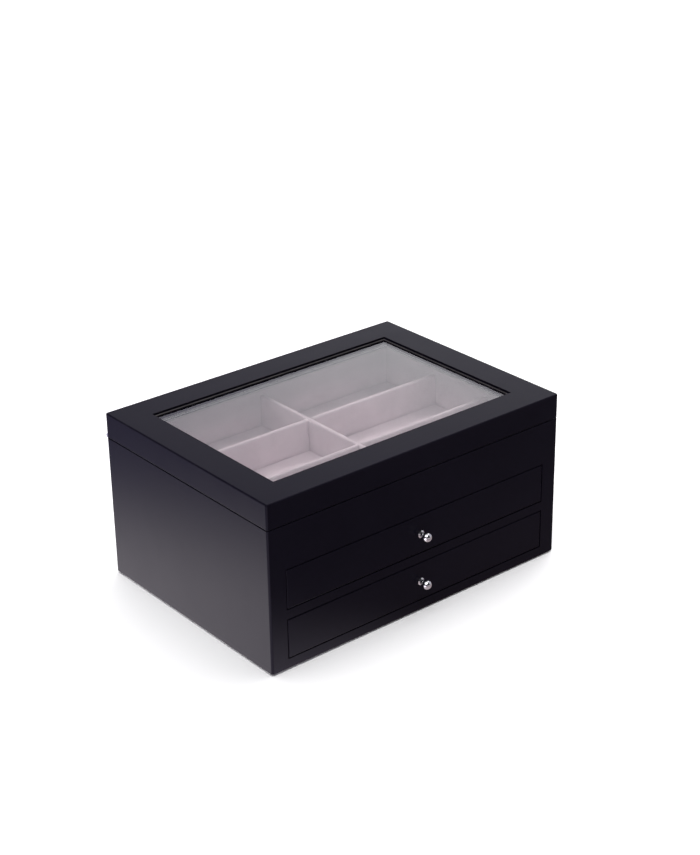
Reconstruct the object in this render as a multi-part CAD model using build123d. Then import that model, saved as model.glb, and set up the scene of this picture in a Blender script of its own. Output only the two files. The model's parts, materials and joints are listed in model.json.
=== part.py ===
from build123d import *
import math
import os

# A table-top jewelry box: a lacquered case with a six-compartment tray under a framed glass
# lid, and two inset drawers below it.  Millimetres.  X runs to the right seen from the front,
# Y from the front to the back, Z up.  The origin is the middle of the underside.

# ------------------------------------------------------------------ outside of the box
case_width = 311.0  # over the two side panels
case_depth = 222.0  # front face to back face, without knobs and hinge
overall_height = 152.0  # table to the top of the lid
lid_height = 22.0
seam_gap = 0.8  # between the rim of the case and the lid
corner_radius = 2.0  # upright corners
lid_edge_radius = 1.2  # top edge of the lid
base_edge_radius = 1.0  # bottom edge of the case
seam_edge_radius = 0.4  # both edges at the seam

# ------------------------------------------------------------------ case boards
felt_thickness = 1.0
felt_inset = 3.0
side_thickness = 8.5
back_thickness = 8.5
front_thickness = 9.0
stile_width = 16.1
bottom_rail_height = 9.0
middle_rail_height = 8.2
bottom_thickness = 4.0
shelf_thickness = 2.5
tray_floor_thickness = 2.5
rabbet_depth = 4.2  # lap of the back and the bottom panel into the boards round them
groove_depth = 3.0  # for the shelf and the tray floor
groove_play = 0.2  # a thin panel stops this short of the bottom of its groove

# ------------------------------------------------------------------ drawers
drawer_gap = 0.9  # shown all round a drawer front
drawer_front_height = 34.4
drawer_edge_radius = 0.6
drawer_side_thickness = 5.0
drawer_side_height = 27.0
drawer_front_lap = 4.5  # how far the sides are let into the front
drawer_back_lap = 2.5  # how far the back is let into the sides
drawer_bottom_thickness = 2.5
drawer_bottom_lift = 2.5
drawer_groove_depth = 2.0
drawer_lining_thickness = 1.2
drawer_lining_drop = 1.0  # the lining ends this far below the edge of the sides
drawer_pad_thickness = 1.4
drawer_divider_thickness = 3.0
drawer_divider_drop = 3.0
drawer_compartments = 3  # in the upper drawer
runner_lift = 5.0  # from a shelf to the top of the rail in front of it
runner_foot_width = 6.0
runner_guide_height = 14.0
running_clearance = 0.3  # under a drawer
bumper_radius = 4.0
bumper_thickness = 3.0
bumper_spread = 200.0
bumper_clearance = 0.2

# ------------------------------------------------------------------ knobs and their screws
knob_ball_radius = 4.25
knob_reach = 7.4  # from the drawer front to the middle of the ball
knob_neck_radius = 2.1
knob_flange_radius = 3.3
knob_flange_thickness = 0.7
knob_flange_taper = 0.9  # height of its sloping upper side
knob_screw_radius = 1.25
knob_screw_grip = 5.0  # length inside the knob
knob_screw_head_radius = 2.6
knob_screw_head_height = 1.6
knob_screw_sink = 2.0
screw_clearance = 0.05

# ------------------------------------------------------------------ tray
lining_thickness = 1.5
lining_drop = 0.4  # the lining ends this far below the rim
tray_pad_thickness = 1.4
tray_rows = 3
divider_thickness = 4.0
divider_height = 29.8
divider_edge_radius = 1.2
fabric_play = 0.2  # between one lined piece and the next

# ------------------------------------------------------------------ lid
lid_rail_width = 28.3
lid_wall_thickness = 8.5
lid_panel_thickness = 7.8
lip_drop = 1.9  # from the top of the rails down to the stepped lip inside them
lip_width = 2.0
glass_reveal = 2.6  # from the top of the rails down to the glass
glass_thickness = 3.0
glass_lap = 4.5  # of the glass under the lip
glass_play = 0.4
bead_setback = 1.2  # from the edge of the lip
bead_chamfer = 0.7
lid_bumper_radius = 3.0
lid_bumper_inset = 18.0

# ------------------------------------------------------------------ continuous stop hinge
hinge_end_inset = 2.0  # from each side of the box to the end of the hinge
hinge_knuckles = 21
knuckle_gap = 0.3
barrel_radius = 2.0
barrel_standoff = 0.2  # from the back face to the barrel
pin_radius = 0.8
pin_clearance = 0.05
leaf_thickness = 0.8
leaf_gap = 0.2  # between the closed leaves
leaf_land = 7.6  # width of a leaf on its board
tail_radius = 5.0  # tip of the stop flanges, from the pin
lid_stop_angle = 95.0
stop_allowance = 0.5  # degrees left between the flanges at the end of the travel
hinge_screws = 5
hinge_screw_radius = 0.9
hinge_screw_head_radius = 1.7
hinge_screw_length = 10.0
hinge_screw_end_distance = 20.0
hinge_screw_tip = 1.6
pilot_extra_depth = 0.5

# ------------------------------------------------------------------ planes worked out from them
half_width = case_width / 2
half_depth = case_depth / 2
side_inner = half_width - side_thickness
back_inner = half_depth - back_thickness
front_inner = -half_depth + front_thickness
opening_half = half_width - stile_width
rim_z = overall_height - lid_height - seam_gap
lid_bottom = rim_z + seam_gap

opening_height = drawer_front_height + 2 * drawer_gap
lower_opening_z = felt_thickness + bottom_rail_height
middle_rail_z = lower_opening_z + opening_height
upper_opening_z = middle_rail_z + middle_rail_height
top_rail_z = upper_opening_z + opening_height

tray_floor_top = top_rail_z + tray_floor_thickness
tray_pad_top = tray_floor_top + tray_pad_thickness
divider_top = tray_pad_top + divider_height
tray_half_width = side_inner - lining_thickness
tray_front = front_inner + lining_thickness
tray_back = back_inner - lining_thickness

drawer_half = opening_half - drawer_gap
drawer_inner_half = drawer_half - drawer_side_thickness
drawer_rear = back_inner - bumper_thickness - bumper_clearance
drawer_inner_rear = drawer_rear - drawer_side_thickness

hinge_length = case_width - 2 * hinge_end_inset
pin_y = half_depth + barrel_standoff + barrel_radius
pin_z = rim_z + seam_gap / 2
knuckle_pitch = hinge_length / hinge_knuckles
knuckle_clear = barrel_radius + knuckle_gap
screw_y = half_depth - leaf_land / 2

panel_bottom = overall_height - lid_panel_thickness
glass_top = overall_height - glass_reveal
glass_rabbet = glass_lap + glass_play
rail_and_lip = lid_rail_width + lip_width
lip_z = overall_height - lip_drop


# ------------------------------------------------------------------ general shapes
def block(x_span, y_span, z_span):
    """A plain board between two faces on each axis."""
    size = [span[1] - span[0] for span in (x_span, y_span, z_span)]
    middle = [(span[1] + span[0]) / 2 for span in (x_span, y_span, z_span)]
    return Pos(*middle) * Box(*size)


def centred(half):
    """A span that is symmetrical about zero."""
    return (-half, half)


def rounded_box(z_span, low_radius, high_radius):
    """The outside of the case or of the lid, with its rounded edges."""
    shape = block(centred(half_width), centred(half_depth), z_span)
    shape = fillet(shape.edges().filter_by(Axis.Z), corner_radius)
    shape = fillet(shape.faces().sort_by(Axis.Z)[-1].edges(), high_radius)
    return fillet(shape.faces().sort_by(Axis.Z)[0].edges(), low_radius)


def flat_ring(x_span, y_span, z_span, wall):
    """A strip of even thickness, folded round the inside of a rectangle."""
    hollow = block(
        (x_span[0] + wall, x_span[1] - wall), (y_span[0] + wall, y_span[1] - wall), z_span
    )
    return block(x_span, y_span, z_span) - hollow


def turned(points):
    """A piece turned about Z from half of its outline, given as (radius, height)."""
    outline = Polyline([(radius, 0, height) for radius, height in points], close=True)
    return revolve(make_face(outline), Axis.Z)


case_outside = rounded_box((felt_thickness, rim_z), base_edge_radius, seam_edge_radius)
lid_outside = rounded_box((lid_bottom, overall_height), seam_edge_radius, lid_edge_radius)


# ------------------------------------------------------------------ hinge
def leaf_strip(side):
    """The flat of a leaf, from its inner edge to the clearance round the barrel."""
    inner = -(leaf_land + barrel_standoff + barrel_radius)
    low = side * leaf_gap / 2
    high = side * (leaf_gap / 2 + leaf_thickness)
    return [(inner, low), (-knuckle_clear, low), (-knuckle_clear, high), (inner, high)]


def tail_strip(side, inner_radius):
    """A stop flange: its contact face is a radial plane at half of the stop angle."""
    angle = math.radians((lid_stop_angle + stop_allowance) / 2)
    along = (math.cos(angle), side * math.sin(angle))
    across = (-math.sin(angle) * leaf_thickness, side * math.cos(angle) * leaf_thickness)
    root = (along[0] * inner_radius, along[1] * inner_radius)
    tip = (along[0] * tail_radius, along[1] * tail_radius)
    return [
        root,
        tip,
        (tip[0] + across[0], tip[1] + across[1]),
        (root[0] + across[0], root[1] + across[1]),
    ]


def along_hinge(face, x_start, length):
    """Draws a section of the hinge, given about the pin, along X."""
    section = Plane.YZ.offset(x_start) * Pos(pin_y, pin_z) * face
    return extrude(section, amount=length)


def outline_face(points):
    return make_face(Polyline(points, close=True))


def screw_places():
    """X of each hinge screw; both leaves are drilled at the same places."""
    first = -hinge_length / 2 + hinge_screw_end_distance
    step = -2 * first / (hinge_screws - 1)
    return [first + index * step for index in range(hinge_screws)]


def hinge_screw():
    """A countersunk wood screw, head up, with the top of its head at the origin."""
    cone = hinge_screw_head_radius - hinge_screw_radius
    return turned(
        [
            (0, 0),
            (hinge_screw_head_radius, 0),
            (hinge_screw_radius, -cone),
            (hinge_screw_radius, hinge_screw_tip - hinge_screw_length),
            (0, -hinge_screw_length),
        ]
    )


def screw_hole(extra):
    """What a hinge screw needs clear: its head, its shank and a little depth."""
    head = hinge_screw_head_radius + extra
    shank = hinge_screw_radius + extra
    depth = hinge_screw_length + pilot_extra_depth
    return turned([(0, 0), (head, 0), (shank, shank - head), (shank, -depth), (0, -depth)])


def hinge_screw_set(side, piece):
    """Copies of a screw or of its hole in the leaf on one side of the seam."""
    turn = Rot(180, 0, 0) if side > 0 else Rot(0, 0, 0)
    level = pin_z + side * leaf_gap / 2
    return [Pos(x, screw_y, level) * turn * piece for x in screw_places()]


def hinge_leaf(side, first_knuckle):
    """One leaf: a drilled flat, every second knuckle, and a stop flange behind the barrel."""
    leaf = along_hinge(outline_face(leaf_strip(side)), -hinge_length / 2, hinge_length)
    tail_length = hinge_length - 2 * knuckle_pitch
    leaf += along_hinge(outline_face(tail_strip(side, knuckle_clear)), -tail_length / 2, tail_length)

    bore = Circle(pin_radius + pin_clearance)
    low, high = side * leaf_gap / 2, side * (leaf_gap / 2 + leaf_thickness)
    bridge = outline_face([(-knuckle_clear, low), (0, low), (0, high), (-knuckle_clear, high)])
    plain = Circle(barrel_radius) + bridge
    tailed = plain + outline_face(tail_strip(side, pin_radius))
    for index in range(first_knuckle, hinge_knuckles, 2):
        is_end = index in (0, hinge_knuckles - 1)
        start = -hinge_length / 2 + index * knuckle_pitch + knuckle_gap / 2
        section = (plain if is_end else tailed) - bore
        leaf += along_hinge(section, start, knuckle_pitch - knuckle_gap)

    for hole in hinge_screw_set(side, screw_hole(screw_clearance)):
        leaf -= hole
    return leaf


def hinge_recess(side):
    """The shallow step in a board that a leaf lies in."""
    level = pin_z + side * (leaf_gap / 2 + leaf_thickness)
    return block(
        centred(hinge_length / 2),
        (half_depth - leaf_land, pin_y),
        (min(level, pin_z), max(level, pin_z)),
    )


def hinge_parts():
    pin = Pos(0, pin_y, pin_z) * Rot(0, 90, 0) * Cylinder(pin_radius, hinge_length)
    return {
        "hinge_case_leaf": hinge_leaf(-1, 0),
        "hinge_lid_leaf": hinge_leaf(1, 1),
        "hinge_pin": pin,
        "hinge_case_screws": Compound(children=hinge_screw_set(-1, hinge_screw())),
        "hinge_lid_screws": Compound(children=hinge_screw_set(1, hinge_screw())),
    }


# ------------------------------------------------------------------ case
def case_parts():
    """Boards of the case.  Each panel is let into the boards round it."""

    def panel(depth, low, thickness):
        return block(
            centred(side_inner + depth),
            (front_inner - depth, back_inner + depth),
            (low, low + thickness),
        )

    bottom = panel(rabbet_depth, felt_thickness, bottom_thickness)
    shelf_low = upper_opening_z - runner_lift - shelf_thickness
    held_depth = groove_depth - groove_play
    shelf = panel(held_depth, shelf_low, shelf_thickness)
    tray_floor = panel(held_depth, top_rail_z, tray_floor_thickness)
    lands = bottom + panel(groove_depth, shelf_low, shelf_thickness)
    lands += panel(groove_depth, top_rail_z, tray_floor_thickness)

    height = (felt_thickness, rim_z)
    back = block(centred(side_inner + rabbet_depth), (back_inner, half_depth), height)
    recess = hinge_recess(-1)
    side = block((side_inner, half_width), (front_inner, half_depth), height)
    side = (side - back - lands - recess) & case_outside
    back = (back - lands - recess) & case_outside
    for hole in hinge_screw_set(-1, screw_hole(screw_clearance)):
        back -= hole

    face = (-half_depth, front_inner)
    stile = block((opening_half, half_width), face, height)
    stile = (stile - lands) & case_outside

    def rail(low, high):
        return (block(centred(opening_half), face, (low, high)) - lands) & case_outside

    felt = block(centred(half_width - felt_inset), centred(half_depth - felt_inset), (0, felt_thickness))
    return {
        "side_panel_right": side,
        "side_panel_left": mirror(side, Plane.YZ),
        "back_panel": back,
        "front_stile_right": stile,
        "front_stile_left": mirror(stile, Plane.YZ),
        "front_bottom_rail": rail(felt_thickness, lower_opening_z),
        "front_middle_rail": rail(middle_rail_z, upper_opening_z),
        "front_top_rail": rail(top_rail_z, rim_z),
        "bottom_panel": bottom,
        "drawer_shelf": shelf,
        "tray_floor": tray_floor,
        "base_felt": fillet(felt.edges().filter_by(Axis.Z), corner_radius),
    }


def runner(opening_z):
    """An L-shaped strip: its foot carries a drawer side and its upright guides it."""
    low = opening_z - runner_lift
    foot_top = opening_z + drawer_gap - running_clearance
    guide_top = foot_top + runner_guide_height
    foot_edge = opening_half - runner_foot_width
    outline = [
        (side_inner, low),
        (foot_edge, low),
        (foot_edge, foot_top),
        (opening_half, foot_top),
        (opening_half, guide_top),
        (side_inner, guide_top),
    ]
    section = Plane.XZ.offset(-back_inner) * outline_face(outline)
    return extrude(section, amount=back_inner - front_inner)


def runner_parts():
    parts = {}
    for level, opening_z in (("lower", lower_opening_z), ("upper", upper_opening_z)):
        right = runner(opening_z)
        parts[f"{level}_runner_right"] = right
        parts[f"{level}_runner_left"] = mirror(right, Plane.YZ)
    return parts


def bumper_parts():
    """Rubber stops: behind each drawer, and under the front corners of the lid."""
    stop = Cylinder(bumper_radius, bumper_thickness, align=(Align.CENTER, Align.CENTER, Align.MIN))
    stop = chamfer(stop.edges().sort_by(Axis.Z)[-1], bumper_thickness / 3)
    drawer_stops = [
        Pos(x, back_inner, opening_z + drawer_gap + drawer_side_height / 2) * Rot(90, 0, 0) * stop
        for opening_z in (lower_opening_z, upper_opening_z)
        for x in centred(bumper_spread / 2)
    ]
    pad = Cylinder(lid_bumper_radius, seam_gap)
    front_wall = (front_inner - half_depth) / 2
    lid_stops = [
        Pos(x, front_wall, rim_z + seam_gap / 2) * pad for x in centred(half_width - lid_bumper_inset)
    ]
    return {
        "drawer_bumpers": Compound(children=drawer_stops),
        "lid_bumpers": Compound(children=lid_stops),
    }


# ------------------------------------------------------------------ tray
def slotted(divider, slots):
    """A divider with its upper edge rounded and its half-lap slots cut."""
    top_face = divider.faces().sort_by(Axis.Z)[-1]
    long_edges = top_face.edges().sort_by(SortBy.LENGTH)[-2:]
    divider = fillet(long_edges, divider_edge_radius)
    for slot in slots:
        divider -= slot
    return divider


def tray_parts():
    """The lined tray: four wall linings, a floor pad and an interlocked set of dividers."""
    wall_z = (tray_floor_top, rim_z - lining_drop)
    long_front = block(centred(side_inner), (front_inner, tray_front), wall_z)
    long_back = block(centred(side_inner), (tray_back, back_inner), wall_z)
    short = block((tray_half_width, side_inner), (tray_front, tray_back), wall_z)
    pad = block(
        centred(tray_half_width - fabric_play),
        (tray_front + fabric_play, tray_back - fabric_play),
        (tray_floor_top, tray_pad_top),
    )

    half_slot = divider_thickness / 2 + fabric_play / 2
    lap_z = (tray_pad_top + divider_top) / 2
    row_depth = (tray_back - tray_front) / tray_rows
    row_lines = [tray_front + row_depth * index for index in range(1, tray_rows)]
    height = (tray_pad_top, divider_top)
    column_slot = block(
        centred(half_slot),
        (tray_front, tray_back),
        (lap_z - fabric_play / 2, divider_top),
    )
    row_slots = [
        block(
            centred(tray_half_width),
            (line - half_slot, line + half_slot),
            (tray_pad_top, lap_z + fabric_play / 2),
        )
        for line in row_lines
    ]
    rows = [
        slotted(
            block(
                centred(tray_half_width - fabric_play),
                (line - divider_thickness / 2, line + divider_thickness / 2),
                height,
            ),
            [column_slot],
        )
        for line in row_lines
    ]
    cross = slotted(
        block(
            centred(divider_thickness / 2),
            (tray_front + fabric_play, tray_back - fabric_play),
            height,
        ),
        row_slots,
    )
    parts = {
        "tray_lining_front": long_front,
        "tray_lining_back": long_back,
        "tray_lining_right": short,
        "tray_lining_left": mirror(short, Plane.YZ),
        "tray_floor_pad": pad,
        "tray_divider_cross": cross,
    }
    for name, row in zip(("front", "rear"), rows):
        parts[f"tray_divider_{name}"] = row
    return parts


# ------------------------------------------------------------------ lid
def lid_rail(length, offset):
    """A mitred rail with a stepped lip over the glass, placed as the front rail of its frame."""
    outer = -offset
    sight_edge = outer + rail_and_lip
    outline = [
        (outer, lid_bottom),
        (outer, overall_height),
        (outer + lid_rail_width, overall_height),
        (outer + lid_rail_width, lip_z),
        (sight_edge, lip_z),
        (sight_edge, glass_top),
        (sight_edge - glass_rabbet, glass_top),
        (sight_edge - glass_rabbet, panel_bottom),
        (outer + lid_wall_thickness, panel_bottom),
        (outer + lid_wall_thickness, lid_bottom),
    ]
    bar = extrude(Plane.YZ.offset(-length / 2) * outline_face(outline), amount=length)
    inner_half = length / 2 - rail_and_lip
    mitre = outline_face(
        [
            (-length / 2, outer),
            (length / 2, outer),
            (inner_half, sight_edge),
            (-inner_half, sight_edge),
        ]
    )
    return bar & extrude(Plane.XY.offset(lid_bottom) * mitre, amount=lid_height)


def lid_parts():
    """Four mitred rails, the glass let in from below and the beads that hold it."""
    recess = hinge_recess(1)
    front = lid_rail(case_width, half_depth) & lid_outside
    back = ((Rot(0, 0, 180) * lid_rail(case_width, half_depth)) & lid_outside) - recess
    for hole in hinge_screw_set(1, screw_hole(screw_clearance)):
        back -= hole
    right = ((Rot(0, 0, 90) * lid_rail(case_depth, half_width)) & lid_outside) - recess

    window_half_x = half_width - rail_and_lip
    window_half_y = half_depth - rail_and_lip
    glass = block(
        centred(window_half_x + glass_lap),
        centred(window_half_y + glass_lap),
        (glass_top - glass_thickness, glass_top),
    )

    bead_width = glass_rabbet - bead_setback
    bead_top = glass_top - glass_thickness

    def bead(length, offset):
        outer = -(offset + glass_rabbet)
        inner = outer + bead_width
        outline = [
            (outer, panel_bottom),
            (inner - bead_chamfer, panel_bottom),
            (inner, panel_bottom + bead_chamfer),
            (inner, bead_top),
            (outer, bead_top),
        ]
        return extrude(Plane.YZ.offset(-length / 2) * outline_face(outline), amount=length)

    long_bead = bead(2 * (window_half_x + glass_rabbet), window_half_y)
    short_bead = bead(2 * (window_half_y + bead_setback), window_half_x)
    return {
        "lid_rail_front": front,
        "lid_rail_back": back,
        "lid_rail_right": right,
        "lid_rail_left": mirror(right, Plane.YZ),
        "glass_pane": glass,
        "glass_beads_long": Compound(children=[Rot(0, 0, turn) * long_bead for turn in (0, 180)]),
        "glass_beads_short": Compound(children=[Rot(0, 0, turn) * short_bead for turn in (90, 270)]),
    }


# ------------------------------------------------------------------ drawers
def knob():
    """A turned ball knob on a neck and a tapered flange, standing on the XY plane."""
    join = knob_reach - math.sqrt(knob_ball_radius**2 - knob_neck_radius**2)
    top = knob_reach + knob_ball_radius
    flange_edge = (knob_flange_radius, 0, knob_flange_thickness)
    neck_foot = (knob_neck_radius, 0, knob_flange_thickness + knob_flange_taper)
    outline = [
        Line((0, 0, 0), (knob_flange_radius, 0, 0)),
        Line((knob_flange_radius, 0, 0), flange_edge),
        Line(flange_edge, neck_foot),
        Line(neck_foot, (knob_neck_radius, 0, join)),
        ThreePointArc((knob_neck_radius, 0, join), (knob_ball_radius, 0, knob_reach), (0, 0, top)),
        Line((0, 0, top), (0, 0, 0)),
    ]
    shape = revolve(make_face(outline), Axis.Z)
    hole = Cylinder(
        knob_screw_radius + screw_clearance,
        knob_screw_grip + pilot_extra_depth,
        align=(Align.CENTER, Align.CENTER, Align.MIN),
    )
    return shape - hole


def knob_screw():
    """A pan-head screw from inside the drawer; the XY plane is the drawer's front face."""
    seat = knob_screw_sink - front_thickness
    low = seat - knob_screw_head_height
    crown = knob_screw_head_radius * 0.7
    return turned(
        [
            (0, low),
            (crown, low),
            (knob_screw_head_radius, low + knob_screw_head_height / 2),
            (knob_screw_head_radius, seat),
            (knob_screw_radius, seat),
            (knob_screw_radius, knob_screw_grip),
            (0, knob_screw_grip),
        ]
    )


def knob_screw_hole():
    """A through hole in the drawer front with a counterbore for the head."""
    back_face = -front_thickness
    seat = back_face + knob_screw_sink
    wide = knob_screw_head_radius + 4 * screw_clearance
    narrow = knob_screw_radius + screw_clearance
    return turned([(0, back_face), (wide, back_face), (wide, seat), (narrow, seat), (narrow, 0), (0, 0)])


def drawer_parts(name, opening_z, compartments):
    """A drawer with an inset front, let-in sides and back, and a lined floor."""
    base = opening_z + drawer_gap
    board_z = (base, base + drawer_side_height)
    rear = block(
        centred(drawer_inner_half + drawer_back_lap), (drawer_inner_rear, drawer_rear), board_z
    )
    side = block(
        (drawer_inner_half, drawer_half), (front_inner - drawer_front_lap, drawer_rear), board_z
    )
    floor_z = (
        base + drawer_bottom_lift,
        base + drawer_bottom_lift + drawer_bottom_thickness,
    )

    def floor_panel(depth):
        return block(
            centred(drawer_inner_half + depth),
            (front_inner - depth, drawer_inner_rear + depth),
            floor_z,
        )

    floor = floor_panel(drawer_groove_depth - groove_play)
    groove = floor_panel(drawer_groove_depth)
    front = block(
        centred(drawer_half), (-half_depth, front_inner), (base, base + drawer_front_height)
    )
    front = fillet(front.faces().sort_by(Axis.Y)[0].edges(), drawer_edge_radius)
    front = front - groove - side - mirror(side, Plane.YZ)
    knob_place = Pos(0, -half_depth, base + drawer_front_height / 2) * Rot(90, 0, 0)
    front -= knob_place * knob_screw_hole()
    side = side - rear - groove
    rear = rear - groove

    lining_top = base + drawer_side_height - drawer_lining_drop
    lining = flat_ring(
        centred(drawer_inner_half),
        (front_inner, drawer_inner_rear),
        (floor_z[1], lining_top),
        drawer_lining_thickness,
    )
    room_half = drawer_inner_half - drawer_lining_thickness - fabric_play
    room_front = front_inner + drawer_lining_thickness + fabric_play
    room_back = drawer_inner_rear - drawer_lining_thickness - fabric_play
    pad_top = floor_z[1] + drawer_pad_thickness
    pad = block(centred(room_half), (room_front, room_back), (floor_z[1], pad_top))
    parts = {
        f"{name}_drawer_front": front,
        f"{name}_drawer_side_right": side,
        f"{name}_drawer_side_left": mirror(side, Plane.YZ),
        f"{name}_drawer_back": rear,
        f"{name}_drawer_bottom": floor,
        f"{name}_drawer_lining": lining,
        f"{name}_drawer_pad": pad,
        f"{name}_drawer_knob": knob_place * knob(),
        f"{name}_drawer_knob_screw": knob_place * knob_screw(),
    }
    if compartments > 1:
        step = 2 * room_half / compartments
        half = drawer_divider_thickness / 2
        walls = [
            block(
                (-room_half + step * index - half, -room_half + step * index + half),
                (room_front, room_back),
                (pad_top, base + drawer_side_height - drawer_divider_drop),
            )
            for index in range(1, compartments)
        ]
        parts[f"{name}_drawer_dividers"] = Compound(children=walls)
    return parts


# ------------------------------------------------------------------ the whole box
nodes = {
    **case_parts(),
    **runner_parts(),
    **bumper_parts(),
    **tray_parts(),
    **hinge_parts(),
    **lid_parts(),
    **drawer_parts("lower", lower_opening_z, 1),
    **drawer_parts("upper", upper_opening_z, drawer_compartments),
}

os.makedirs("parts", exist_ok=True)
for node_name, node_shape in nodes.items():
    export_step(node_shape, f"parts/{node_name}.step")
print(len(nodes), "nodes written")
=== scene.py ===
"""Looks of a table-top jewelry box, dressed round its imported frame.

The outside is black satin lacquer.  Pale velvet over card and foam lines the tray under the glass
lid and the two drawers.  Every length is in metres, in the same frame as the solids.
"""

import json
import logging
import math
from abc import ABC, abstractmethod
from dataclasses import dataclass, replace
from enum import Enum
from functools import reduce
from typing import Optional, Sequence, Union

import bmesh
import bpy
from mathutils import Matrix, Vector, noise


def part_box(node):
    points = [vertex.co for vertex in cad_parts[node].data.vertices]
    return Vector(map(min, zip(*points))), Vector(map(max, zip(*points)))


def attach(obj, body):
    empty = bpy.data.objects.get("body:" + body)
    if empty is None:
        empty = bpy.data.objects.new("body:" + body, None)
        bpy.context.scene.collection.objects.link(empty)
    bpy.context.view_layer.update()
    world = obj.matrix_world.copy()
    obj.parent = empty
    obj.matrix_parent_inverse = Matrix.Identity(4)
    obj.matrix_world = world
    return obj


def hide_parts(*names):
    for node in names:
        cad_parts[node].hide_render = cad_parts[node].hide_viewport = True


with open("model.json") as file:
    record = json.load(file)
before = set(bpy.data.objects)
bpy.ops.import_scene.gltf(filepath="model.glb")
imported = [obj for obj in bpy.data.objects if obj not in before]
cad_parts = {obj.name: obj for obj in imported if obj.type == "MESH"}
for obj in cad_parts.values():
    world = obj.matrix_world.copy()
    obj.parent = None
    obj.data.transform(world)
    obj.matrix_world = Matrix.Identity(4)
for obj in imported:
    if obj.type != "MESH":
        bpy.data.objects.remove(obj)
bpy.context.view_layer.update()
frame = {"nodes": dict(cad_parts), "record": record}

LOG = logging.getLogger("jewelry_box")
MM = 0.001
Colour = tuple[float, float, float, float]
Range = tuple[float, float]
Way = tuple[float, float, float]
Node = bpy.types.Node
Piece = bpy.types.Object
Socket = bpy.types.NodeSocket
Sockets = bpy.types.bpy_prop_collection
Value = Union[float, int, Sequence[float], Socket]


class Body(Enum):
    """The parts of the box that move on their own."""

    CASE = "case"
    LID = "lid"
    UPPER = "upper_drawer"
    LOWER = "lower_drawer"


class Slot(Enum):
    """The finishes that the record names."""

    LACQUER = "lacquer"
    DRAWER_WOOD = "drawer_wood"
    INNER_WOOD = "inner_wood"
    VELVET = "velvet"
    FELT = "felt"
    GLASS = "glass"
    CHROME = "chrome"
    NICKEL = "hinge_nickel"
    SCREW = "screw_steel"
    RUBBER = "rubber"


class Run(Enum):
    """The direction that a long piece runs in, as the number of its axis."""

    ACROSS = 0
    DEEP = 1


# each wall of a lining: the direction it runs in, and which way is inward
WALLS = {"front": (Run.ACROSS, 1), "back": (Run.ACROSS, -1), "left": (Run.DEEP, 1), "right": (Run.DEEP, -1)}


@dataclass(frozen=True)
class Room:
    """An upright box, given by its lowest and highest corner."""

    low: Vector
    high: Vector

    @classmethod
    def of(cls, *nodes: str) -> "Room":
        """Finds the smallest upright box round some nodes of the frame.

        Args:
            nodes: Names of the nodes.

        Returns:
            The box.
        """
        corners = [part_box(node) for node in nodes]
        low = Vector([min(corner[0][axis] for corner in corners) for axis in range(3)])
        high = Vector([max(corner[1][axis] for corner in corners) for axis in range(3)])
        return cls(low, high)

    @property
    def size(self) -> Vector:
        """The lengths of the three sides."""
        return self.high - self.low

    @property
    def middle(self) -> Vector:
        """The centre of the box."""
        return (self.high + self.low) / 2

    def reach(self, axis: int) -> float:
        """How far the box reaches from the middle of the frame on one axis."""
        return max(abs(self.low[axis]), abs(self.high[axis]))

    def ranged(self, axis: int, low: float, high: float) -> "Room":
        """Gives a copy of the box that starts and ends elsewhere on one axis.

        Args:
            axis: Number of the axis.
            low: Where the copy starts.
            high: Where it ends.

        Returns:
            The copy.
        """
        corners = self.low.copy(), self.high.copy()
        corners[0][axis], corners[1][axis] = low, high
        return Room(*corners)


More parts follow.
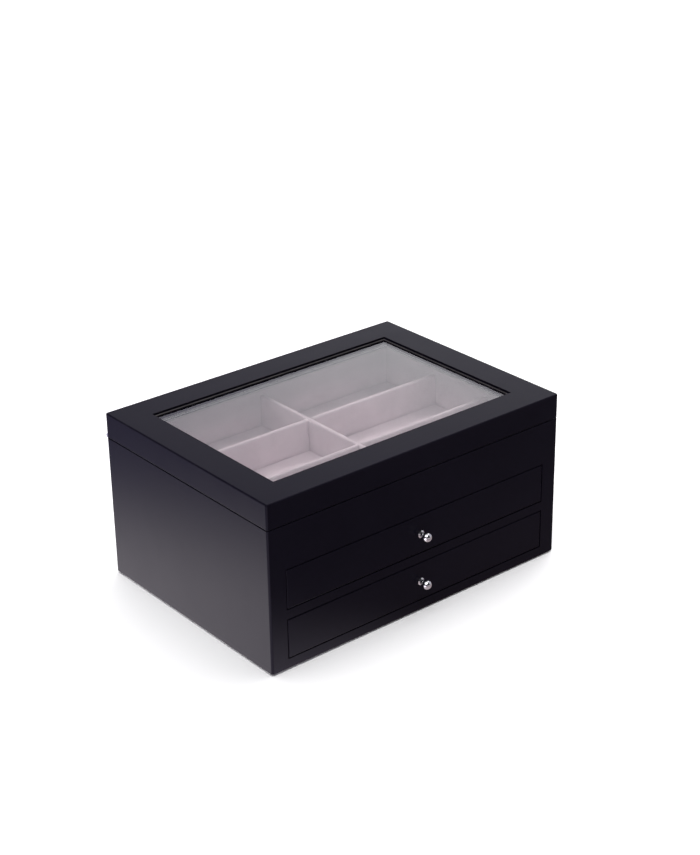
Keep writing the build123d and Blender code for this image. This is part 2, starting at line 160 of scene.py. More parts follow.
# ---------------------------------------------------------------- shader wiring
class Graph:
    """A node tree that is being wired."""

    def __init__(self, tree: bpy.types.NodeTree) -> None:
        """Keeps the tree that the nodes go into."""
        self.tree = tree

    @classmethod
    def fresh(cls, owner: Union[bpy.types.Material, bpy.types.World]) -> "Graph":
        """Empties the nodes of a material or a world, to wire them anew."""
        owner.use_nodes = True
        owner.node_tree.nodes.clear()
        return cls(owner.node_tree)

    def fill(self, node: Node, inputs: dict[Union[str, int], Value]) -> None:
        """Fills inputs of a node.

        Args:
            node: The node.
            inputs: By name or number, another node's output or a plain number, vector or colour.
        """
        for name, value in inputs.items():
            if isinstance(value, Socket):
                self.tree.links.new(value, node.inputs[name])
            else:
                node.inputs[name].default_value = value

    def node(self, kind: str, inputs: Optional[dict] = None, **settings: object) -> Node:
        """Adds a node.

        Args:
            kind: Blender's name for the type of node.
            inputs: What goes into its inputs, by name or number.
            settings: Values for the node's own properties.

        Returns:
            The new node.
        """
        made = self.tree.nodes.new(kind)
        for name, value in settings.items():
            setattr(made, name, value)
        self.fill(made, inputs or {})
        return made

    def math(self, operation: str, first: Value, second: Value = 0.0) -> Socket:
        """Adds one step of arithmetic, such as ADD."""
        return self.node("ShaderNodeMath", {0: first, 1: second}, operation=operation).outputs[0]

    def times(self, *values: Value) -> Socket:
        """Multiplies values with each other."""
        return reduce(lambda first, second: self.math("MULTIPLY", first, second), values)

    def average(self, first: Value, second: Value, share: float) -> Socket:
        """Adds two values up, the second one with the given share and the first one with the rest."""
        return self.math("ADD", self.times(first, 1 - share), self.times(second, share))

    def span(
        self, value: Value, low: float, high: float, out_low: float = 0.0, out_high: float = 1.0
    ) -> Socket:
        """Maps the range from low to high onto the one from out_low to out_high, with soft ends."""
        inputs = {"Value": value, "From Min": low, "From Max": high, "To Min": out_low, "To Max": out_high}
        return self.node("ShaderNodeMapRange", inputs, interpolation_type="SMOOTHSTEP").outputs["Result"]

    def split(self, vector: Value) -> Sockets:
        """Gives the X, Y and Z of a position as outputs of those names."""
        return self.node("ShaderNodeSeparateXYZ", {0: vector}).outputs

    def stretched(self, vector: Value, factors: Sequence[float]) -> Socket:
        """Multiplies a position by one factor on each axis."""
        return self.node("ShaderNodeVectorMath", {0: vector, 1: factors}, operation="MULTIPLY").outputs[0]

    def noise(self, place: Value, scale: Value, detail: float = 2.0, roughness: float = 0.5) -> Socket:
        """Adds a cloudy pattern about 0.5, with as many cells in a metre as its scale says."""
        inputs = {"Vector": place, "Scale": scale, "Detail": detail, "Roughness": roughness}
        return self.node("ShaderNodeTexNoise", inputs).outputs["Fac"]

    def blend(self, share: Value, first: Value, second: Value) -> Socket:
        """Mixes two colours; the share says how much of the second one shows."""
        return self.node("ShaderNodeMix", {0: share, 6: first, 7: second}, data_type="RGBA").outputs[2]

    def bump(self, height: Value, depth: float, strength: float = 1.0) -> Socket:
        """Turns a height from 0 to 1 into a bent normal; a height of 1 stands for the depth in metres."""
        inputs = {"Height": height, "Distance": depth, "Strength": strength}
        return self.node("ShaderNodeBump", inputs).outputs["Normal"]


class Effect(ABC):
    """A node group that finishes share, built when a finish first uses it."""

    name: str
    numbers: dict[str, float]

    def place(self, graph: Graph, inputs: dict[str, Value]) -> Sockets:
        """Puts the group into a material.

        Args:
            graph: The material's nodes.
            inputs: Values and links for the group's inputs.

        Returns:
            The outputs of the group's node.
        """
        tree = bpy.data.node_groups.get(self.name) or self._build()
        return graph.node("ShaderNodeGroup", inputs, node_tree=tree).outputs

    def _build(self) -> bpy.types.NodeTree:
        """Builds the group, with a Vector input, the effect's numbers and one number for each result.

        Returns:
            The group.
        """
        tree = bpy.data.node_groups.new(self.name, "ShaderNodeTree")
        tree.interface.new_socket(name="Vector", in_out="INPUT", socket_type="NodeSocketVector")
        for label, value in self.numbers.items():
            socket = tree.interface.new_socket(name=label, in_out="INPUT", socket_type="NodeSocketFloat")
            socket.default_value = value
        graph = Graph(tree)
        results = self.wire(graph, graph.node("NodeGroupInput").outputs)
        for label in results:
            tree.interface.new_socket(name=label, in_out="OUTPUT", socket_type="NodeSocketFloat")
        graph.node("NodeGroupOutput", results)
        return tree

    @abstractmethod
    def wire(self, graph: Graph, given: Sockets) -> dict[str, Socket]:
        """Wires the effect.

        Args:
            graph: The group's nodes.
            given: What comes into the group, by name.

        Returns:
            What the group gives, by name.
        """

    @staticmethod
    def insets(graph: Graph, given: Sockets) -> tuple[Socket, Socket, Socket]:
        """Measures a place in an upright box with its middle at the origin.

        Args:
            graph: The group's nodes.
            given: Its inputs, with Vector, Half Width and Half Depth.

        Returns:
            How far the place lies inside the sides, how far inside the front or back, and its height.
        """
        split = graph.split(given["Vector"])
        side = graph.math("SUBTRACT", given["Half Width"], graph.math("ABSOLUTE", split["X"]))
        front = graph.math("SUBTRACT", given["Half Depth"], graph.math("ABSOLUTE", split["Y"]))
        return side, front, split["Z"]


class EdgeRubAndHighlight(Effect):
    """The arrises of an upright box, lighter where handling rubs them, and as a painted highlight."""

    name = "edge_rub_and_highlight"
    numbers = {"Half Width": 0.1, "Half Depth": 0.1, "Low": 0.0, "High": 0.1, "Reach": 1.0 * MM}

    def wire(self, graph: Graph, given: Sockets) -> dict[str, Socket]:
        """Finds places that are near two faces at once, and keeps some of them."""
        to_side, to_front, height = self.insets(graph, given)
        above = graph.math("SUBTRACT", height, given["Low"])
        below = graph.math("SUBTRACT", given["High"], height)
        nearer = graph.math("MINIMUM", to_side, to_front)
        farther = graph.math("MAXIMUM", to_side, to_front)
        to_end = graph.math("MINIMUM", farther, graph.math("MINIMUM", above, below))
        second = graph.math("MAXIMUM", nearer, to_end)
        line = graph.span(graph.math("DIVIDE", second, given["Reach"]), 0.0, 1.0, 1.0, 0.0)
        patches = graph.span(graph.noise(given["Vector"], scale=90.0, detail=3.0), 0.52, 0.72)
        return {"Mask": graph.times(line, patches)}


class LedgePaintedHighlight(Effect):
    """A painted highlight on a ledge at one height inside an upright frame, uneven in patches."""

    name = "ledge_painted_highlight"
    numbers = {"Half Width": 0.1, "Half Depth": 0.1, "Inset": 0.02, "Height": 0.1}

    def wire(self, graph: Graph, given: Sockets) -> dict[str, Socket]:
        """Finds level places beyond the inset, and lays the painted highlight over them in uneven patches."""
        to_side, to_front, height = self.insets(graph, given)
        inset = graph.math("SUBTRACT", graph.math("MINIMUM", to_side, to_front), given["Inset"])
        inside = graph.span(inset, 0.0, 0.3 * MM)
        rise = graph.math("ABSOLUTE", graph.math("SUBTRACT", height, given["Height"]))
        level = graph.span(rise, 0.1 * MM, 0.3 * MM, 1.0, 0.0)
        # the painted highlight varies in patches
        highlight_patches = graph.span(graph.noise(given["Vector"], scale=70.0, detail=3.0), 0.35, 0.6, 0.7, 1.0)
        return {"Mask": graph.times(highlight_patches, inside, level)}


class LacquerFilm(Effect):
    """A sprayed film."""

    name = "lacquer_film"
    numbers = {"Scale": 12.0}

    def wire(self, graph: Graph, given: Sockets) -> dict[str, Socket]:
        """Wires its broad cloudiness, faint wiping marks and fine orange peel."""
        place = given["Vector"]
        cloud = graph.noise(place, given["Scale"], detail=3.0, roughness=0.55)
        wiped = graph.noise(graph.stretched(place, (1.0, 1.6, 1.3)), scale=34.0, detail=3.0)
        peel = graph.noise(place, scale=420.0, roughness=0.4)
        return {"Cloud": graph.span(cloud, 0.3, 0.7), "Wiped": graph.span(wiped, 0.35, 0.75), "Height": peel}


class Pile(Effect):
    """Short cut pile."""

    name = "pile"
    numbers = {"Tuft Scale": 2600.0, "Patch Scale": 45.0}

    def wire(self, graph: Graph, given: Sockets) -> dict[str, Socket]:
        """Wires single tufts, and broad patches where the pile lies one way or the other."""
        place = given["Vector"]
        tufts = graph.noise(place, given["Tuft Scale"], roughness=0.65)
        rows = graph.noise(graph.stretched(place, (900.0, 300.0, 500.0)), scale=1.0)
        patch = graph.noise(place, given["Patch Scale"], detail=3.0)
        fine = graph.average(tufts, rows, 0.4)
        return {"Tone": graph.average(fine, graph.span(patch, 0.35, 0.65), 0.25), "Height": fine}


class Grain(Effect):
    """The grain of a board that runs across the box, under stain or paint."""

    name = "grain"
    numbers = {"Fibre Scale": 900.0, "Figure Scale": 60.0}

    def wire(self, graph: Graph, given: Sockets) -> dict[str, Socket]:
        """Wires its pores and its broader figure."""
        along = graph.stretched(given["Vector"], (0.05, 1.0, 1.0))
        fibres = graph.noise(along, given["Fibre Scale"], detail=3.0, roughness=0.7)
        figure = graph.noise(along, given["Figure Scale"])
        return {"Tone": graph.span(graph.average(fibres, figure, 0.45), 0.35, 0.65), "Height": fibres}


class Brushed(Effect):
    """The surface of a belt-finished metal."""

    name = "brushed"
    numbers = {"Line Scale": 2500.0, "Spot Scale": 160.0}

    def wire(self, graph: Graph, given: Sockets) -> dict[str, Socket]:
        """Wires fine lines that run across the box, and dull spots."""
        along = graph.stretched(given["Vector"], (0.02, 1.0, 1.0))
        lines = graph.noise(along, given["Line Scale"], roughness=0.6)
        spots = graph.noise(given["Vector"], given["Spot Scale"], detail=3.0, roughness=0.55)
        return {"Lines": lines, "Spots": graph.span(spots, 0.45, 0.7)}


# ---------------------------------------------------------------- finishes
@dataclass(frozen=True)
class Finish(ABC):
    """A surface finish, made into a material when a piece first takes it."""

    name: str

    def material(self) -> bpy.types.Material:
        """Gives the finish as a material.

        Returns:
            The material, the same one at each call.
        """
        found = bpy.data.materials.get(self.name)
        if found is not None:
            return found
        made = bpy.data.materials.new(self.name)
        graph = Graph.fresh(made)
        place = graph.node("ShaderNodeTexCoord").outputs["Object"]
        shader = graph.node("ShaderNodeBsdfPrincipled", self.paint(graph, place)).outputs["BSDF"]
        graph.node("ShaderNodeOutputMaterial", {"Surface": self.surface(graph, shader)})
        return made

    @abstractmethod
    def paint(self, graph: Graph, place: Socket) -> dict[str, Value]:
        """Wires the finish.

        Args:
            graph: The material's nodes.
            place: Position on the piece, in metres.

        Returns:
            What goes into the main shader's inputs, by name.
        """

    def surface(self, graph: Graph, shader: Socket) -> Socket:
        """Gives what the material shows, which is its main shader unless a finish adds to it."""
        return shader

    def dress(self, piece: Piece) -> None:
        """Gives the finish to a whole piece."""
        piece.data.materials.clear()
        piece.data.materials.append(self.material())


@dataclass(frozen=True)
class SatinLacquer(Finish):
    """Black satin lacquer with a faint violet cast; its arrises are a little rubbed and painted lighter as a
    highlight, and its inner ledge has a painted highlight.
    """

    room: Room
    colour: Colour = (0.0036, 0.0028, 0.0072, 1.0)
    cloudy: Colour = (0.0044, 0.0035, 0.0084, 1.0)
    cloud_scale: float = 11.0
    roughness: Range = (0.28, 0.32)
    specular: float = 0.075
    gleam: Colour = (0.87, 0.83, 1.0, 1.0)
    peel: float = 0.004 * MM
    # lighter arrises: wear, and a painted highlight
    rubbed_and_highlight: Colour = (0.020, 0.018, 0.025, 1.0)
    rub_and_highlight_reach: float = 0.9 * MM
    rub_and_highlight_share: float = 0.35
    rub_roughness: float = 0.08
    # painted highlight on the inner ledge round the glass
    ledge_highlight: Colour = (0.062, 0.058, 0.060, 1.0)
    ledge: Optional[Range] = None  # inset and height of an inner ledge

    def paint(self, graph: Graph, place: Socket) -> dict[str, Value]:
        """Wires the film, its rubbed arrises with their painted highlight, and the painted highlight on its
        ledge.
        """
        film = LacquerFilm().place(graph, {"Vector": place, "Scale": self.cloud_scale})
        outline = {"Vector": place, "Half Width": self.room.reach(0), "Half Depth": self.room.reach(1)}
        ends = {"Low": self.room.low.z, "High": self.room.high.z, "Reach": self.rub_and_highlight_reach}
        rub_and_highlight = EdgeRubAndHighlight().place(graph, outline | ends)["Mask"]
        colour = graph.blend(film["Cloud"], self.colour, self.cloudy)
        # the arrises turn lighter: wear, and a painted highlight
        colour = graph.blend(graph.times(rub_and_highlight, self.rub_and_highlight_share), colour, self.rubbed_and_highlight)
        if self.ledge is not None:
            inset, height = self.ledge
            painted_highlight = LedgePaintedHighlight().place(graph, outline | {"Inset": inset, "Height": height})
            # painted highlight: the ledge is lightened
            colour = graph.blend(painted_highlight["Mask"], colour, self.ledge_highlight)
        rough = graph.span(film["Wiped"], 0.0, 1.0, *self.roughness)
        return {
            "Base Color": colour,
            "Roughness": graph.math("ADD", rough, graph.times(rub_and_highlight, self.rub_roughness)),
            "Normal": graph.bump(film["Height"], self.peel),
            "Specular IOR Level": self.specular,
            "Specular Tint": self.gleam,
        }


@dataclass(frozen=True)
class PaintedWood(Finish):
    """Board or fibreboard under thin stain or paint, with its grain telegraphing through."""

    dark: Colour
    light: Colour
    roughness: Range = (0.5, 0.66)
    relief: float = 0.03 * MM
    specular: float = 0.3

    def paint(self, graph: Graph, place: Socket) -> dict[str, Value]:
        """Wires the grain into colour, roughness and relief."""
        grain = Grain().place(graph, {"Vector": place})
        return {
            "Base Color": graph.blend(grain["Tone"], self.dark, self.light),
            "Roughness": graph.span(grain["Tone"], 0.0, 1.0, *self.roughness),
            "Normal": graph.bump(grain["Height"], self.relief),
            "Specular IOR Level": self.specular,
        }


@dataclass(frozen=True)
class PileCloth(Finish):
    """Velvet or felt: tufts, the patches where the pile leans, and a soft rim of light."""

    deep: Colour
    bright: Colour
    tuft_scale: float = 2600.0
    relief: float = 0.12 * MM
    relief_share: float = 0.7
    roughness: Range = (0.95, 0.82)
    specular: float = 0.1
    sheen: float = 0.2
    sheen_roughness: float = 0.45
    painted_shade: Optional[Colour] = None  # painted shade: its tone higher up, darker towards the top
    painted_shade_rise: Range = (0.0, 1.0)
    painted_shade_share: float = 0.85

    def paint(self, graph: Graph, place: Socket) -> dict[str, Value]:
        """Wires the pile into colour, roughness and relief."""
        pile = Pile().place(graph, {"Vector": place, "Tuft Scale": self.tuft_scale})
        tone = graph.span(pile["Tone"], 0.3, 0.7)
        colour = graph.blend(tone, self.deep, self.bright)
        # painted shade: the tone turns darker higher up
        if self.painted_shade is not None:
            share = graph.span(graph.split(place)["Z"], *self.painted_shade_rise, 0.0, self.painted_shade_share)
            colour = graph.blend(share, colour, self.painted_shade)
        return {
            "Base Color": colour,
            "Roughness": graph.span(tone, 0.0, 1.0, *self.roughness),
            "Normal": graph.bump(pile["Height"], self.relief, self.relief_share),
            "Specular IOR Level": self.specular,
            "Sheen Weight": self.sheen,
            "Sheen Roughness": self.sheen_roughness,
            "Sheen Tint": self.bright,
        }


@dataclass(frozen=True)
class FloatGlass(Finish):
    """Clear float glass with a breath of dust, which lets lamps through to the tray."""

    tint: Colour = (0.888, 0.891, 0.881, 1.0)
    dusty: Colour = (0.870, 0.875, 0.865, 1.0)
    dust_scale: float = 30.0
    dust_roughness: float = 0.02
    index: float = 1.54
    hard_coat: float = 0.6
    hard_coat_roughness: float = 0.02

    def paint(self, graph: Graph, place: Socket) -> dict[str, Value]:
        """Wires the dust and the hard coat."""
        wiped = LacquerFilm().place(graph, {"Vector": place, "Scale": self.dust_scale})["Wiped"]
        return {
            "Base Color": graph.blend(wiped, self.tint, self.dusty),
            "Roughness": graph.span(wiped, 0.5, 1.0, 0.0, self.dust_roughness),
            "Transmission Weight": 1.0,
            "IOR": self.index,
            "Coat Weight": self.hard_coat,
            "Coat Roughness": self.hard_coat_roughness,
        }

    def surface(self, graph: Graph, shader: Socket) -> Socket:
        """Adds a clear stand-in for the rays that come from lamps."""
        clear = graph.node("ShaderNodeBsdfTransparent", {"Color": self.tint})
        shadow = graph.node("ShaderNodeLightPath").outputs["Is Shadow Ray"]
        inputs = {0: shadow, 1: shader, 2: clear.outputs["BSDF"]}
        return graph.node("ShaderNodeMixShader", inputs).outputs["Shader"]


@dataclass(frozen=True)
class PlatedMetal(Finish):
    """Plated metal, polished or with a fine brushed grain, and a few dull spots."""

    colour: Colour
    dull: Colour
    roughness: Range
    relief: float

    def paint(self, graph: Graph, place: Socket) -> dict[str, Value]:
        """Wires the brushed lines and the spots."""
        brushed = Brushed().place(graph, {"Vector": place})
        mixed = graph.average(brushed["Spots"], brushed["Lines"], 0.4)
        return {
            "Base Color": graph.blend(brushed["Spots"], self.colour, self.dull),
            "Roughness": graph.span(mixed, 0.1, 0.8, *self.roughness),
            "Normal": graph.bump(brushed["Lines"], self.relief),
            "Metallic": 1.0,
        }


@dataclass(frozen=True)
class SoftRubber(Finish):
    """Moulded black rubber with a fine bloom."""

    colour: Colour = (0.018, 0.018, 0.019, 1.0)
    bloom: Colour = (0.045, 0.044, 0.042, 1.0)
    roughness: Range = (0.55, 0.8)
    relief: float = 0.02 * MM

    def paint(self, graph: Graph, place: Socket) -> dict[str, Value]:
        """Wires the bloom and the fine texture of the mould."""
        cloud = graph.span(graph.noise(place, scale=700.0, detail=3.0, roughness=0.6), 0.4, 0.75)
        return {
            "Base Color": graph.blend(cloud, self.colour, self.bloom),
            "Roughness": graph.span(cloud, 0.0, 1.0, *self.roughness),
            "Normal": graph.bump(graph.noise(place, scale=3500.0), self.relief),
        }


# ---------------------------------------------------------------- mesh helpers
class Workshop:
    """Turns rings, outlines and data into pieces."""

    @staticmethod
    def placed(name: str, data: bpy.types.ID) -> Piece:
        """Makes an object at the origin of the scene from a mesh, a lamp or a camera."""
        made = bpy.data.objects.new(name, data)
        bpy.context.scene.collection.objects.link(made)
        return made

    @staticmethod
    def piece(name: str, shape: bmesh.types.BMesh, sharp_degrees: float = 40.0) -> Piece:
        """Makes an object at the origin from a closed shape.

        Args:
            name: The piece's name.
            shape: Its mesh, freed here.
            sharp_degrees: Edges that turn more than this stay crisp.

        Returns:
            The object, linked to the scene.
        """
        bmesh.ops.recalc_face_normals(shape, faces=shape.faces)
        mesh = bpy.data.meshes.new(name)
        shape.to_mesh(mesh)
        shape.free()
        mesh.shade_smooth()
        mesh.set_sharp_from_angle(angle=math.radians(sharp_degrees))
        return Workshop.placed(name, mesh)

    @staticmethod
    def band(shape: bmesh.types.BMesh, first: Sequence, second: Sequence) -> None:
        """Joins two closed rings of vertices of a shape with a band of faces.

        Args:
            shape: The shape.
            first: One ring.
            second: The other one, of equal count.
        """
        for index in range(len(first)):
            after = (index + 1) % len(first)
            shape.faces.new((first[index], first[after], second[after], second[index]))

    @staticmethod
    def lofted(rings: Sequence[Sequence[Vector]]) -> bmesh.types.BMesh:
        """Joins closed rings of equal count into a solid with flat ends.

        Args:
            rings: The rings in order.

        Returns:
            The closed shape.
        """
        shape = bmesh.new()
        made = [[shape.verts.new(point) for point in ring] for ring in rings]
        for first, second in zip(made, made[1:]):
            Workshop.band(shape, first, second)
        shape.faces.new(list(reversed(made[0])))
        shape.faces.new(made[-1])
        return shape

    @staticmethod
    def turned(outline: Sequence[Range], segments: int) -> bmesh.types.BMesh:
        """Turns an outline about Z.

        Args:
            outline: Radius and height of each point, from one pole to the other.
            segments: Number of steps round the axis.

        Returns:
            The closed shape.
        """
        shape = bmesh.new()
        angles = [2 * math.pi / segments * step for step in range(segments)]
        rings = []
        for radius, height in outline:
            ways = [(math.cos(angle), math.sin(angle)) for angle in angles] if radius > 0.0 else [(0.0, 0.0)]
            rings.append([shape.verts.new((radius * x, radius * y, height)) for x, y in ways])
        for first, second in zip(rings, rings[1:]):
            for index in range(segments):
                after = (index + 1) % segments
                corners = [first[index % len(first)], first[after % len(first)]]
                corners += [second[after % len(second)], second[index % len(second)]]
                shape.faces.new(list(dict.fromkeys(corners)))
        return shape

    @staticmethod
    def cut(piece: Piece, rooms: Sequence[Room]) -> None:
        """Cuts upright boxes out of a piece.

        Args:
            piece: What is cut.
            rooms: The boxes.
        """
        shape = bmesh.new()
        for room in rooms:
            matrix = Matrix.Translation(room.middle) @ Matrix.Diagonal((*room.size, 1.0))
            bmesh.ops.create_cube(shape, size=1.0, matrix=matrix)
        cutter = Workshop.piece(f"{piece.name}_slots", shape)
        boolean = piece.modifiers.new("slots", "BOOLEAN")
        boolean.operation = "DIFFERENCE"
        boolean.solver = "EXACT"
        boolean.object = cutter
        mesh = Workshop.evaluated(piece)
        piece.modifiers.remove(boolean)
        old = piece.data
        piece.data = mesh
        bpy.data.meshes.remove(old)
        mesh.name = piece.name
        bpy.data.objects.remove(cutter)

    @staticmethod
    def evaluated(piece: Piece) -> bpy.types.Mesh:
        """Gives a piece's mesh with its modifiers applied."""
        graph = bpy.context.evaluated_depsgraph_get()
        return bpy.data.meshes.new_from_object(piece.evaluated_get(graph))

    @staticmethod
    def joined(name: str, pieces: Sequence[Piece]) -> Piece:
        """Puts several finished pieces into one object.

        Args:
            name: The new piece's name.
            pieces: What goes in; they are removed.

        Returns:
            The one piece.
        """
        shape = bmesh.new()
        for piece in pieces:
            shape.from_mesh(piece.data)
        for piece in pieces:
            bpy.data.objects.remove(piece)
        return Workshop.piece(name, shape)


def quarter(start: float, sign: int) -> list[Range]:
    """Gives five directions over a quarter turn from a start angle in degrees; a sign of -1 turns back."""
    angles = [math.radians(start + sign * 22.5 * index) for index in range(5)]
    return [(math.cos(angle), math.sin(angle)) for angle in angles]


def waver(point: Vector, scale: float, seed: float) -> float:
    """Gives a smooth value from about -1 to 1, out of a pattern with that many cells in a metre."""
    return noise.noise(point * scale + Vector((seed, seed * 1.7, seed * 0.3)))


def arch(share: float) -> float:
    """Gives the height of a round arch, from 0 at a share of 0 to 1 halfway and back."""
    return max(0.0, 4 * share * (1 - share)) ** 0.5


def settle(piece: Piece, body: Body, slot: Slot, *nodes: str) -> None:
    """Puts a finished piece on its body, in place of its solids.

    Args:
        piece: The piece.
        body: What it moves with.
        slot: The finish that the record names for it; not used.
        nodes: The solids that it stands for.
    """
    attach(piece, body.value)
    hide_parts(*nodes)
    LOG.info("%s: %d faces on %s", piece.name, len(piece.data.polygons), body.value)


# ---------------------------------------------------------------- velvet
@dataclass
class WrappedCard:
    """A strip of card wrapped in velvet: a rolled upper edge, soft ends and pile that wavers."""

    name: str
    room: Room
    run: Run
    roll: float
    swell: float = 0.0
    inward: int = 1
    bays: Sequence[float] = ()
    slots: Sequence[Room] = ()
    seed: float = 1.0
    step: float = 4.0 * MM
    rows: int = 8
    roundest: float = 0.96
    foot: float = 0.3 * MM
    end_rings: Sequence[float] = (0.25 * MM, 0.7 * MM, 1.3 * MM)
    end_taper: float = 0.35 * MM
    end_drop: float = 0.5 * MM
    waviness: float = 0.07 * MM

    def build(self) -> Piece:
        """Lofts the strip along its run and cuts its slots.

        Returns:
            The piece.
        """
        shape = Workshop.lofted([self._ring(place) for place in self._places()])
        made = Workshop.piece(self.name, shape, sharp_degrees=50.0)
        if self.slots:
            Workshop.cut(made, self.slots)
        return made

    def _places(self) -> list[float]:
        """Where the rings stand along the run, close together near the soft ends.

        Returns:
            The places in order.
        """
        start, end = self.room.low[self.run.value], self.room.high[self.run.value]
        count = max(2, round((end - start) / self.step))
        places = {round(start + (end - start) * index / count, 7) for index in range(count + 1)}
        for inset in self.end_rings:
            places |= {round(start + inset, 7), round(end - inset, 7)}
        return sorted(places)

    def _bay_swell(self, place: float) -> float:
        """How full the padding is: nothing at the lines that press on it.

        Args:
            place: Where along the run.

        Returns:
            The share of the full swell.
        """
        for low, high in zip(self.bays, self.bays[1:]):
            if low <= place <= high:
                return arch((place - low) / (high - low))
        return 0.0

    def _section(self, place: float) -> list[Range]:
        """The outline of the strip, before its pile wavers.

        Args:
            place: Where it stands along the run.

        Returns:
            Offset from the middle and height of its points, once round.
        """
        low, high = self.room.low, self.room.high
        end = min(place - low[self.run.value], high[self.run.value] - place)
        soften = (1 - min(1.0, end / self.end_rings[-1])) ** 2
        half = self.room.size[1 - self.run.value] / 2 - self.end_taper * soften
        top = high.z - self.end_drop * soften
        roll = min(self.roll, half * self.roundest)
        start = low.z + self.foot
        sides = [start + (top - roll - start) * index / self.rows for index in range(1, self.rows)]
        points = [(-half + self.foot, low.z), (-half, start)]
        points += [(-half, height) for height in sides]
        for centre, first in ((-half + roll, 180.0), (half - roll, 90.0)):
            points += [(centre + roll * x, top - roll + roll * y) for x, y in quarter(first, -1)]
        points += [(half, height) for height in reversed(sides)]
        return points + [(half, start), (half - self.foot, low.z)]

    def _ring(self, place: float) -> list[Vector]:
        """One section of the strip, with its padding and the waver of its pile.

        Args:
            place: Where it stands along the run.

        Returns:
            Its points, once round.
        """
        across = 1 - self.run.value
        low, high = self.room.low, self.room.high
        full = self._bay_swell(place) * self.swell
        ring = []
        for offset, height in self._section(place):
            share = (height - low.z) / (high.z - low.z)
            where = Vector((place, offset + self.seed, height))
            away = 1 if offset > 0 else -1
            offset += self.waviness * waver(where, scale=60.0, seed=self.seed) * away * min(1.0, share * 4)
            if offset * self.inward > 0:
                offset += self.inward * full * arch(share)
            if share > 0.5:
                rise = waver(where, scale=40.0, seed=self.seed + 3.0) - 0.8
                height += 1.6 * self.waviness * rise * share
            position = Vector((0.0, 0.0, height))
            position[self.run.value] = place
            position[across] = self.room.middle[across] + offset
            ring.append(position)
        return ring


@dataclass
class FoamPad:
    """A foam pad under velvet, held down along its rim and wherever a divider stands on it."""

    name: str
    room: Room
    across_lines: Sequence[float] = ()
    deep_lines: Sequence[float] = ()
    line_half: float = 2.4 * MM
    margin: float = 0.8 * MM
    held_edge: float = 1.0 * MM
    slack: float = 0.1 * MM
    crown: float = 0.9 * MM
    waviness: float = 0.06 * MM
    step: float = 3.6 * MM
    rim: float = 0.5 * MM
    frames: int = 20

    def build(self) -> Piece:
        """Lays the pad as a closed grid and lets the foam push the velvet up.

        Returns:
            The piece.
        """
        columns = self._marks(self.room.low.x, self.room.high.x, self.deep_lines)
        rows = self._marks(self.room.low.y, self.room.high.y, self.across_lines)
        shape = bmesh.new()
        top = [[shape.verts.new((x, y, self.room.high.z)) for x in columns] for y in rows]
        for upper, lower in zip(top, top[1:]):
            for index in range(len(columns) - 1):
                shape.faces.new((upper[index], upper[index + 1], lower[index + 1], lower[index]))
        rim = top[0][:-1] + [row[-1] for row in top[:-1]]
        rim += list(reversed(top[-1][1:])) + [row[0] for row in reversed(top[1:])]
        foot = [shape.verts.new((vertex.co.x, vertex.co.y, self.room.low.z)) for vertex in rim]
        Workshop.band(shape, rim, foot)
        shape.faces.new(foot)
        for vertex in rim:
            vertex.co.z -= self.rim
        made = Workshop.piece(self.name, shape, sharp_degrees=60.0)
        self._swell(made)
        return made

    def _marks(self, low: float, high: float, lines: Sequence[float]) -> list[float]:
        """Grid lines between two walls, with one on each side of a divider.

        Args:
            low: One wall.
            high: The other wall.
            lines: Middles of the dividers between them.

        Returns:
            The places, in order.
        """
        stops = [low, low + self.margin]
        for line in lines:
            stops += [line - self.line_half, line + self.line_half]
        stops += [high - self.margin, high]
        marks = []
        for start, end in zip(stops, stops[1:]):
            count = max(1, round((end - start) / self.step))
            marks += [start + (end - start) * index / count for index in range(count)]
        return marks + [high]

    def _is_free(self, point: Vector) -> bool:
        """Tells whether nothing holds the velvet down.

        Args:
            point: Where on the pad.

        Returns:
            True where it is free to rise.
        """
        low, high = self.room.low, self.room.high
        free = point.z > high.z - self.slack
        for axis, lines in enumerate((self.deep_lines, self.across_lines)):
            free = free and low[axis] + self.held_edge < point[axis] < high[axis] - self.held_edge
            free = free and all(abs(point[axis] - line) > self.line_half + self.slack for line in lines)
        return free

    def _risen(self, piece: Piece, free: Sequence[bool]) -> list[float]:
        """Runs cloth over the foam.

        Args:
            piece: The pad.
            free: Whether each point of it can rise.

        Returns:
            How far each point rose.
        """
        held = piece.vertex_groups.new(name="held")
        held.add([index for index, loose in enumerate(free) if not loose], 1.0, "REPLACE")
        cloth = piece.modifiers.new("velvet", "CLOTH")
        settings = cloth.settings
        settings.quality = 4
        settings.mass = 0.2
        settings.tension_stiffness = settings.compression_stiffness = 8.0
        settings.bending_stiffness = 0.3
        settings.use_pressure = True
        settings.uniform_pressure_force = 3.0
        settings.vertex_group_mass = "held"
        settings.effector_weights.gravity = 0.0
        cloth.collision_settings.use_collision = False
        cloth.collision_settings.use_self_collision = False
        scene = bpy.context.scene
        for number in range(1, self.frames + 1):
            scene.frame_set(number)
        graph = bpy.context.evaluated_depsgraph_get()
        moved = piece.evaluated_get(graph).data.vertices
        risen = [after.co.z - before.co.z for after, before in zip(moved, piece.data.vertices)]
        piece.modifiers.remove(cloth)
        piece.vertex_groups.remove(held)
        scene.frame_set(1)
        return risen

    def _swell(self, piece: Piece) -> None:
        """Lets the velvet rise, caps how far, and keeps the result in the mesh.

        Args:
            piece: The pad, whose mesh is changed.
        """
        vertices = piece.data.vertices
        free = [self._is_free(vertex.co) for vertex in vertices]
        risen = self._risen(piece, free)
        for vertex, loose, rise in zip(vertices, free, risen):
            if loose:
                rise = self.crown * math.tanh(max(0.0, rise) / self.crown)
                vertex.co.z += rise + self.waviness * waver(vertex.co, scale=45.0, seed=7.0)
        piece.data.update()
        LOG.info("%s: velvet rose by up to %.2f mm", self.name, max(risen) / MM)


